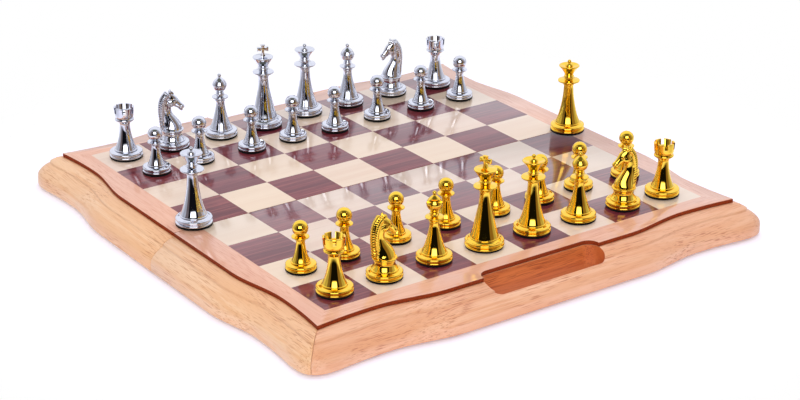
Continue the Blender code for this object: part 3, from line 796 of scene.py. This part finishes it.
def queen_mesh():
    profile = ball(1.45, 55.75, -50)
    profile += spline([(1.0, 54.6), (2.1, 53.9), (2.9, 52.7), (3.0, 51.8), (3.6, 51.7)], 4)
    profile += spline([(3.6, 51.7), (5.6, 52.3), (7.2, 52.9)], 4)
    profile += arc(0.45, (7.35, 52.4), 80, -60, 6)
    profile += spline([(7.4, 51.8), (5.6, 49.6), (4.0, 47.2), (3.2, 45.2)])
    profile += ring(3.9, 44.2, 0.6) + disc(8.4, 40.6, 1.9, 3.5) + ring(4.2, 37.7, 0.6)
    profile += spline([(3.7, 36.8), (3.8, 34.0), (4.4, 27.4), (5.7, 19.6), (7.4, 12.6), (9.2, 7.9)])
    return shade(lathe("queen", in_metres(profile + foot(13.1, 9.3, 7.4, rim=4.9))))


def cross_mesh(foot_height):
    """A cross whose arms widen outwards, standing in the XZ plane at a height on the axis."""
    half, height, waist = 4.3, 8.4, 1.0  # mm
    middle = 0.62 * height
    right = [(2.3, -0.6), (1.3, 0.9), (waist, 2.2), (waist, middle - waist)]
    right += [(half * 0.55, middle - 1.25), (half, middle - 2.0)]
    right += [(half, middle + 1.7), (half * 0.55, middle + 1.1)]
    right += [(waist, middle + waist), (1.25, height - 0.8), (1.95, height)]
    outline = right + [(-x, z) for x, z in reversed(right)]
    half_thickness = 1.4 * MM
    mesh = prism("cross", in_metres(outline), -half_thickness, half_thickness)
    mesh.transform(Matrix.Translation((0.0, 0.0, foot_height)) @ Matrix.Rotation(math.radians(90.0), 4, "X"))
    return combined(mesh, bevel=CROSS_ROUNDING)


def king_mesh():
    profile = spline([(0.0, 57.3), (2.0, 57.2), (4.6, 56.7), (6.8, 56.2)], 4)
    profile += arc(0.55, (7.35, 55.8), 90, -50, 6)
    profile += spline([(7.6, 55.2), (6.4, 53.4), (4.7, 50.8), (3.5, 48.2)])
    profile += ring(4.2, 47.3, 0.65) + disc(8.1, 43.9, 2.0, 3.6) + ring(4.3, 40.9, 0.6)
    profile += spline([(3.8, 40.0), (3.8, 37.0), (4.5, 30.4), (6.2, 22.4), (8.0, 14.0), (9.6, 8.4)])
    mesh = lathe("king", in_metres(profile + foot(13.6, 9.7, 7.8, rim=4.9)))
    return combined(mesh, [cross_mesh(57.2 * MM)], "UNION")


# ---------------------------------------------------------------- knight

def tube(sections):
    """A closed form through ellipses: (x, z, direction in degrees, depth, width), all in mm.

    The depth lies in the horse's plane of symmetry, across the direction, and the width across that.
    """
    loops = []
    for x, z, direction, depth, width in spline(sections, 5):
        angle = math.radians(direction + 90.0)
        across = Vector((math.cos(angle), 0.0, math.sin(angle)))
        loop = []
        for i in range(TUBE_SIDES):
            turn = math.tau * i / TUBE_SIDES
            sideways = Vector((0.0, width * math.sin(turn), 0.0))
            loop.append(tuple((Vector((x, 0.0, z)) + across * depth * math.cos(turn) + sideways) * MM))
        loops.append(loop)
    return loft("tube", loops)


def lump(centre, radii, turn=0.0):
    """An ellipsoid, turned in the plane of symmetry, in mm and degrees."""
    work = bmesh.new()
    bmesh.ops.create_uvsphere(work, u_segments=20, v_segments=12, radius=MM)
    place = Matrix.Translation(Vector(centre) * MM) @ Matrix.Rotation(math.radians(turn), 4, "Y")
    bmesh.ops.transform(work, matrix=place @ Matrix.Diagonal((*radii, 1.0)), verts=work.verts)
    return mesh_of(work, "lump")


def mane_line():
    """Points down the crest of the neck, from the poll to the withers, in mm."""
    return spline([(-4.4, 43.2), (-6.8, 39.6), (-8.3, 35.0), (-8.8, 29.6), (-8.5, 23.8), (-8.0, 17.0)], 4)


def horse_forms():
    """The closed forms that are fused into the horse's head and neck."""
    forms = [tube([(0.0, 13.6, 90, 7.3, 7.2), (-0.1, 16.0, 91, 7.5, 6.9), (-0.7, 18.8, 95, 7.2, 5.8),
                   (-2.4, 22.4, 103, 6.0, 4.6), (-4.2, 26.4, 101, 4.9, 3.8), (-4.8, 30.4, 92, 4.6, 3.4),
                   (-4.3, 34.6, 80, 4.9, 3.3), (-3.2, 38.4, 64, 4.8, 3.0), (-2.2, 41.0, 52, 3.0, 2.3)]),
             tube([(-4.0, 41.8, -42, 2.4, 2.0), (-2.0, 40.0, -42, 4.0, 3.0), (1.2, 37.3, -41, 4.2, 3.1),
                   (3.9, 35.0, -40, 3.1, 2.5), (6.1, 33.2, -40, 2.5, 2.1), (7.8, 31.8, -42, 2.4, 2.2),
                   (8.8, 31.0, -42, 1.4, 1.3)])]
    for side in (-1, 1):
        cheek = lump((-0.5, side * 1.7, 35.9), (3.5, 2.1, 3.1))
        brow = lump((2.6, side * 2.2, 38.4), (1.8, 1.0, 0.75), 38.0)
        eye = lump((2.2, side * 2.7, 37.6), (0.9, 0.65, 0.8))
        nostril = lump((7.8, side * 1.6, 32.7), (1.1, 0.85, 0.8), 38.0)
        ear = lump((-0.8, side * 2.0, 43.3), (1.1, 0.85, 2.3), 14.0)
        forms += [cheek, brow, eye, nostril, ear]
    lower_lip = lump((6.8, 0.0, 30.2), (1.9, 1.6, 0.8), 32.0)
    forelock = lump((0.4, 0.0, 43.2), (2.2, 1.0, 1.5), 40.0)
    return forms + [lower_lip, forelock] + mane_forms()


def mane_forms():
    """Overlapping locks down the crest of the neck, each with a smaller one on either side."""
    forms = []
    crest = mane_line()
    for i in range(MANE_LOCKS):
        share = i / (MANE_LOCKS - 1)
        place = share * (len(crest) - 1)
        low = min(int(place), len(crest) - 2)
        x, z = (a + (b - a) * (place - low) for a, b in zip(crest[low], crest[low + 1]))
        swell = 1.0 + 0.25 * math.sin(math.pi * share)
        forms.append(lump((x, 0.0, z), (1.3 * swell, 2.0, 1.8), 28.0))
        for side in (-1, 1):
            forms.append(lump((x + 1.3, side * (2.4 + 0.6 * swell), z - 0.9), (1.8 * swell, 0.85, 0.8), 60.0))
    return forms


def carve(mesh, marks):
    """Presses the surface in near points: (x, y, z, radius, depth) in mm."""
    moved = []
    for vertex in mesh.vertices:
        shift = 0.0
        for x, y, z, radius, depth in marks:
            distance = (vertex.co - Vector((x, y, z)) * MM).length / (radius * MM)
            if distance < 1.0:
                shift += depth * (1 - distance ** 2) ** 2
        moved.append(vertex.co - vertex.normal * shift * MM)
    for vertex, place in zip(mesh.vertices, moved):
        vertex.co = place


def face_marks():
    """Nostrils, mouth, eye sockets, grooves behind the cheeks, hollow ears and the line under the mane."""
    marks = []
    for side in (-1, 1):
        nostril = [(8.3, side * 2.1, 32.4, 0.9, 0.6)]
        mouth = [(4.4 + 0.7 * i, side * 2.1, 31.8 - 0.46 * i, 0.8, 0.4) for i in range(6)]
        socket = [(3.6, side * 2.8, 36.9, 1.2, 0.35)]
        cheek = [(-3.6 + 0.15 * i * i, side * 3.3, 39.4 - 1.4 * i, 1.2, 0.45) for i in range(5)]
        ear = [(-0.2, side * 2.7, 44.2, 1.0, 0.5)]
        mane = [(-5.4 + 0.07 * i, side * (3.7 + 0.10 * i), 30.0 - 0.6 * i, 1.3, 0.15) for i in range(22)]
        marks += nostril + mouth + socket + cheek + ear + mane
    return marks


def knight_mesh():
    """A horse's head and neck, fused from its forms, standing on a turned drum."""
    work = bmesh.new()
    for form in horse_forms():
        work.from_mesh(form)
    horse = new_object("horse", mesh_of(work, "horse"))
    fuse = horse.modifiers.new("fuse", "REMESH")
    fuse.mode = "VOXEL"
    fuse.voxel_size = VOXEL
    relax = horse.modifiers.new("relax", "SMOOTH")
    relax.factor = 0.5
    relax.iterations = 3
    horse = applied(horse, 180.0)
    carve(horse, face_marks())
    profile = [(0.0, 15.2), (7.8, 15.2)] + arc(0.6, (7.95, 14.5), 80, -60, 6)
    profile += [(7.75, 13.7), (7.7, 13.1), (7.4, 12.7)]
    profile += spline([(7.3, 12.3), (7.15, 10.6), (7.6, 9.0), (8.7, 7.2)], 5)
    mesh = lathe("knight", in_metres(profile + foot(12.5, 9.0, 6.9)))
    return combined(mesh, [horse], "UNION")


def felt_mesh(radius):
    """The felt under a piece, with its edge slightly bulged and its lower arris worn round."""
    edge = radius - 0.12 * MM
    top = FELT_HEIGHT - 0.02 * MM
    profile = [(0.0, top), (edge, top), (edge + 0.1 * MM, 1.1 * MM), (edge + 0.05 * MM, 0.4 * MM),
               (edge - 0.25 * MM, 0.0), (0.0, 0.0)]
    return shade(lathe("felt", profile, FELT_SEGMENTS))


def pieces():
    """Every piece in both metals, and the felt under each."""
    meshes = {"pawn": pawn_mesh(), "rook": rook_mesh(), "knight": knight_mesh(), "bishop": bishop_mesh(),
              "queen": queen_mesh(), "king": king_mesh()}
    for node in sorted(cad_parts):
        metal, _, rest = node.partition("_")
        if metal not in ("gold", "silver"):
            continue
        low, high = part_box(node)
        middle = (low + high) / 2
        place = Matrix.Translation((middle.x, middle.y, low.z))
        place = place @ Matrix.Rotation(math.radians(HEADINGS.get(node, 0.0)), 4, "Z")
        mesh = meshes[rest.split("_")[0]].copy()
        mesh.transform(place)
        show(f"{node}_polished", mesh, f"{node}_piece", [metal], [node])
        felt = felt_mesh((high.x - low.x) / 2)
        felt.transform(place)
        show(f"{node}_felt", felt, f"{node}_piece", ["felt"])


# ---------------------------------------------------------------- studio

CAMERA_PLACE = Vector((-0.79708, -1.15459, 0.60724))
CAMERA_AIM = Vector((0.52652, 0.75352, -0.39368))
CAMERA_LENS = 93.505  # mm, on a sensor 36 mm wide
FLOOR_RADIUS = 1.4
FLOOR_FADE = (0.27, 0.37)


def camera():
    """The photographer's place, aim and lens."""
    made = bpy.data.objects.new("camera", bpy.data.cameras.new("camera"))
    bpy.context.scene.collection.objects.link(made)
    made.data.lens = CAMERA_LENS
    made.data.sensor_width = 36.0
    made.location = CAMERA_PLACE
    made.rotation_mode = "QUATERNION"
    made.rotation_quaternion = CAMERA_AIM.to_track_quat("-Z", "Y")
    made.data.clip_start = 0.05
    bpy.context.scene.camera = made


def floor():
    """A pale round table top that fades out at its rim."""
    work = bmesh.new()
    bmesh.ops.create_circle(work, cap_ends=True, segments=96, radius=FLOOR_RADIUS)
    made = new_object("floor", mesh_of(work, "floor"))
    graph = Finish("pale_floor", roughness=0.8)
    where, _ = graph.position()
    distance = graph.node("ShaderNodeVectorMath", operation="LENGTH")
    graph.feed(where, distance.inputs[0])
    graph.shader.inputs["Base Color"].default_value = (0.86, 0.86, 0.98, 1.0)
    graph.shader.inputs["Specular IOR Level"].default_value = 0.1
    graph.shader.inputs["Emission Color"].default_value = (1.0, 0.99, 1.0, 1.0)
    graph.shader.inputs["Emission Strength"].default_value = 0.16
    clear = graph.node("ShaderNodeBsdfTransparent")
    blend = graph.node("ShaderNodeMixShader")
    graph.feed(graph.ramp(distance.outputs["Value"], *FLOOR_FADE), blend.inputs[0])
    graph.feed(graph.shader.outputs[0], blend.inputs[1])
    graph.feed(clear.outputs[0], blend.inputs[2])
    graph.feed(blend.outputs[0], graph.tree.nodes["Material Output"].inputs["Surface"])
    made.data.materials.append(graph.material)


def sky():
    """What the metal mirrors: a white studio, with dark screens where the photographer stands and a softbox.

    Azimuth is measured from the photographer's direction. Each layer covers the ones before it. The
    camera itself sees plain white.
    """
    world = bpy.data.worlds.new("studio")
    bpy.context.scene.world = world
    world.use_nodes = True
    graph = Graph(world.node_tree)
    background = graph.tree.nodes["Background"]
    direction = graph.node("ShaderNodeTexCoord").outputs["Generated"]
    split = graph.node("ShaderNodeSeparateXYZ")
    graph.feed(direction, split.inputs[0])
    x, y, z = split.outputs
    elevation = graph.math("ARCSINE", z)
    ahead = Vector((CAMERA_PLACE.x, CAMERA_PLACE.y)).normalized()
    toward = graph.math("ADD", graph.math("MULTIPLY", x, ahead.x), graph.math("MULTIPLY", y, ahead.y))
    beside = graph.math("SUBTRACT", graph.math("MULTIPLY", y, ahead.x), graph.math("MULTIPLY", x, ahead.y))
    azimuth = graph.math("ARCTAN2", beside, toward)
    turned = graph.math("ABSOLUTE", azimuth)

    def band(value, low, high, soft):
        """1 between two angles in degrees, and 0 outside them."""
        rise = graph.ramp(value, math.radians(low - soft), math.radians(low + soft))
        fall = graph.ramp(value, math.radians(high - soft), math.radians(high + soft), 1.0, 0.0)
        return graph.math("MULTIPLY", rise, fall)

    def both(one, other):
        return graph.math("MULTIPLY", one, other)

    lower = band(elevation, -90, 50, 5)
    layers = {
        "side walls": (both(band(turned, 74, 104, 8), 0.7), (0.30, 0.31, 0.37)),
        "horizon": (both(band(elevation, -12, 7, 3), 0.5), (0.40, 0.39, 0.42)),
        "ceiling": (both(band(elevation, 56, 100, 5), graph.ramp(toward, -0.12, 0.08)), (0.15, 0.155, 0.125)),
        "right screen": (both(both(band(azimuth, 36, 78, 6), lower), 0.9), (0.20, 0.115, 0.055)),
        "left screen": (both(both(band(azimuth, -74, -36, 6), lower), 0.9), (0.10, 0.060, 0.055)),
        "photographer": (both(band(turned, -10, 45, 3), band(elevation, -90, 60, 3)), (0.006, 0.006, 0.008)),
        "softbox": (both(band(turned, -20, 24, 4), band(elevation, 14, 48, 4)), (3.4, 3.4, 3.45)),
    }
    colour = (1.05, 1.06, 1.14)
    for share, layer in layers.values():
        colour = graph.mix(share, colour, layer)
    seen = graph.node("ShaderNodeLightPath").outputs["Is Camera Ray"]
    graph.feed(graph.mix(seen, colour, (1.0, 1.0, 1.0)), background.inputs["Color"])


def lamp(name, place, size, power):
    """A large soft light, aimed at the middle of the board, that polished metal doesn't mirror."""
    data = bpy.data.lights.new(name, "AREA")
    data.shape = "DISK"
    data.size = size
    data.energy = power
    made = bpy.data.objects.new(name, data)
    bpy.context.scene.collection.objects.link(made)
    made.location = place
    made.rotation_mode = "QUATERNION"
    made.rotation_quaternion = (-Vector(place)).to_track_quat("-Z", "Y")
    made.visible_glossy = False


def studio():
    """Camera, table top and lights, with plain colours rather than a filmic look."""
    camera()
    floor()
    sky()
    lamp("key_light", (-0.9, -1.3, 1.9), size=1.0, power=8.5)
    lamp("fill_light", (-1.1, -1.3, 0.35), size=0.7, power=4.5)
    lamp("top_light", (0.3, 0.2, 2.2), size=1.6, power=11.0)
    bpy.context.scene.view_settings.view_transform = "Standard"
    bpy.context.scene.view_settings.look = "None"


board()
pieces()
studio()
